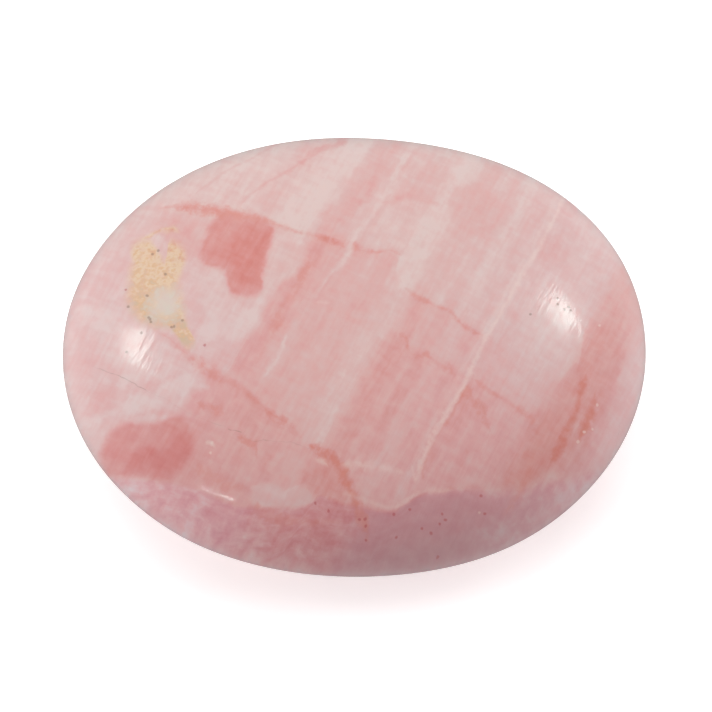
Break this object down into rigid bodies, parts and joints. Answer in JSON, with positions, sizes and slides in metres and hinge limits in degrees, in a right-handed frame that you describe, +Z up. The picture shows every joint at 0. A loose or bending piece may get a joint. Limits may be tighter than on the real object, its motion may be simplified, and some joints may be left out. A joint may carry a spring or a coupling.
{
  "type": "oval opal palm stone",
  "caption": "Oval palm stone of banded pink opal, domed on both faces with a rounded rim, polished all over, resting on a small flat spot.",
  "frame": {"origin": "under the middle of the oval outline, in the plane of the flat spot that the stone rests on", "axes": "+X along the stone's length, +Y across its width, +Z up through its thickness"},
  "size_m": [0.064, 0.0494, 0.0249],
  "materials": {
    "pink_opal": "polished"
  },
  "bodies": {
    "root": {"opal": "pink_opal"}
  },
  "joints": []
}
